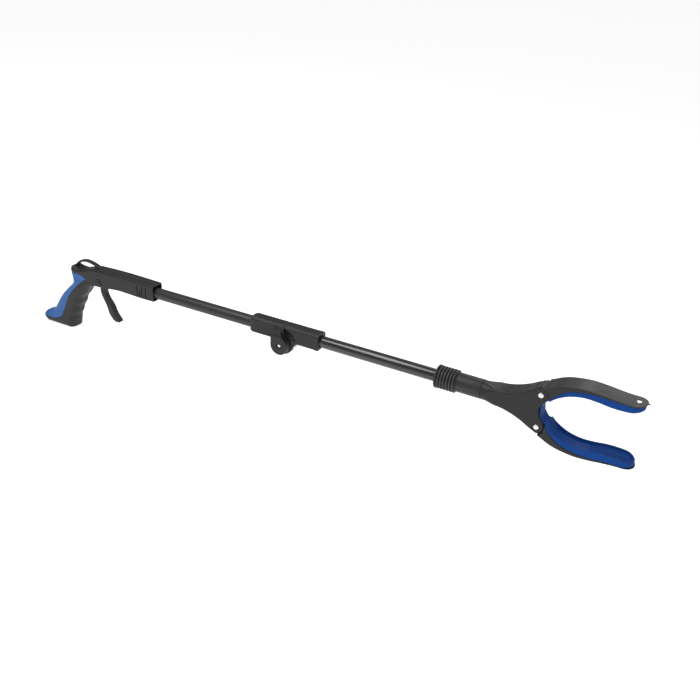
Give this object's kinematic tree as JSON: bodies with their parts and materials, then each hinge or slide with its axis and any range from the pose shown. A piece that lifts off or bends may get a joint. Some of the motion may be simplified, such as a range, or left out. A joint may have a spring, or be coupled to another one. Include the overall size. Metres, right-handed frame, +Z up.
{
  "type": "reacher grabber",
  "caption": "Folding reacher grabber: pistol grip with trigger, two tubes with a fold hinge, swivelling head and padded jaws that close together.",
  "frame": {"origin": "under the middle of the part, on the plane of the flat underside of the grip; the tube axis is 92 mm above it", "axes": "+X along the tubes towards the jaws, +Z up with the grip hanging down, Y across, and the part is mirror-symmetric about Y=0 in its outer form"},
  "size_m": [0.8906, 0.032, 0.1357],
  "materials": {
    "black_plastic": "fine satin texture",
    "inner_plastic": "plain moulded",
    "grip_rubber": "soft matt overmould",
    "pad_rubber": "soft satin",
    "sleeve_rubber": "matt",
    "tube_matt": "matt powder coat",
    "tube_gloss": "gloss paint",
    "steel": "bright"
  },
  "bodies": {
    "handle": {"handle_shell_right": "black_plastic", "handle_shell_left": "black_plastic", "grip_backstrap": "grip_rubber", "hanging_loop": "black_plastic", "shell_screws": "steel", "trigger_pin": "steel", "rear_tube": "tube_matt", "rear_hinge_block": "black_plastic", "fold_pivot_screw": "steel", "fold_pivot_nut": "steel"},
    "trigger": {"trigger": "black_plastic"},
    "rear_cable": {"rear_cable": "steel", "cable_barrel": "steel"},
    "front_section": {"front_hinge_block": "black_plastic", "front_tube": "tube_gloss", "ribbed_sleeve": "sleeve_rubber", "neck_collar": "black_plastic"},
    "lock_button": {"fold_lock_button": "steel", "lock_button_spring": "steel"},
    "head": {"head_shell_right": "black_plastic", "head_shell_left": "black_plastic", "jaw_pivot_pins": "steel", "head_screws": "steel"},
    "crosshead": {"crosshead": "inner_plastic", "front_cable": "steel", "cable_ferrule": "steel", "return_spring": "steel"},
    "upper_jaw": {"upper_jaw": "black_plastic", "upper_jaw_pad": "pad_rubber", "upper_crank_pin": "steel", "pickup_magnet": "steel"},
    "lower_jaw": {"lower_jaw": "black_plastic", "lower_jaw_pad": "pad_rubber", "lower_crank_pin": "steel"}
  },
  "joints": [
    {"name": "trigger_squeeze", "type": "hinge", "parent": "handle", "child": "trigger", "pos_m": [-0.31875, 0, 0.0985], "axis": [0, 1, 0], "range_deg": [0, 30]},
    {"name": "rear_cable_pull", "type": "slide", "parent": "handle", "child": "rear_cable", "axis": [1, 0, 0], "range_m": [-0.0041, 0]},
    {"name": "fold", "type": "hinge", "parent": "handle", "child": "front_section", "pos_m": [-0.01925, 0, 0.076], "axis": [0, 1, 0], "range_deg": [0, 160]},
    {"name": "lock_button_press", "type": "slide", "parent": "front_section", "child": "lock_button", "axis": [-1, 0, 0], "range_m": [0, 0.002], "deforming": ["lock_button_spring"]},
    {"name": "head_swivel", "type": "hinge", "parent": "front_section", "child": "head", "pos_m": [0.25675, 0, 0.092], "axis": [1, 0, 0], "range_deg": [-90, 90]},
    {"name": "crosshead_pull", "type": "slide", "parent": "head", "child": "crosshead", "axis": [1, 0, 0], "range_m": [-0.0041, 0], "deforming": ["return_spring"]},
    {"name": "upper_jaw_close", "type": "hinge", "parent": "head", "child": "upper_jaw", "pos_m": [0.32925, 0, 0.113], "axis": [0, 1, 0], "range_deg": [0, 17]},
    {"name": "lower_jaw_close", "type": "hinge", "parent": "head", "child": "lower_jaw", "pos_m": [0.32925, 0, 0.071], "axis": [0, 1, 0], "range_deg": [-17, 0]}
  ],
  "couplings": [
    {"joint": "rear_cable_pull", "follows": "trigger_squeeze", "m_per_rad": -0.0075},
    {"joint": "crosshead_pull", "follows": "trigger_squeeze", "m_per_rad": -0.0075},
    {"joint": "upper_jaw_close", "follows": "trigger_squeeze", "ratio": 0.56},
    {"joint": "lower_jaw_close", "follows": "trigger_squeeze", "ratio": -0.56}
  ]
}
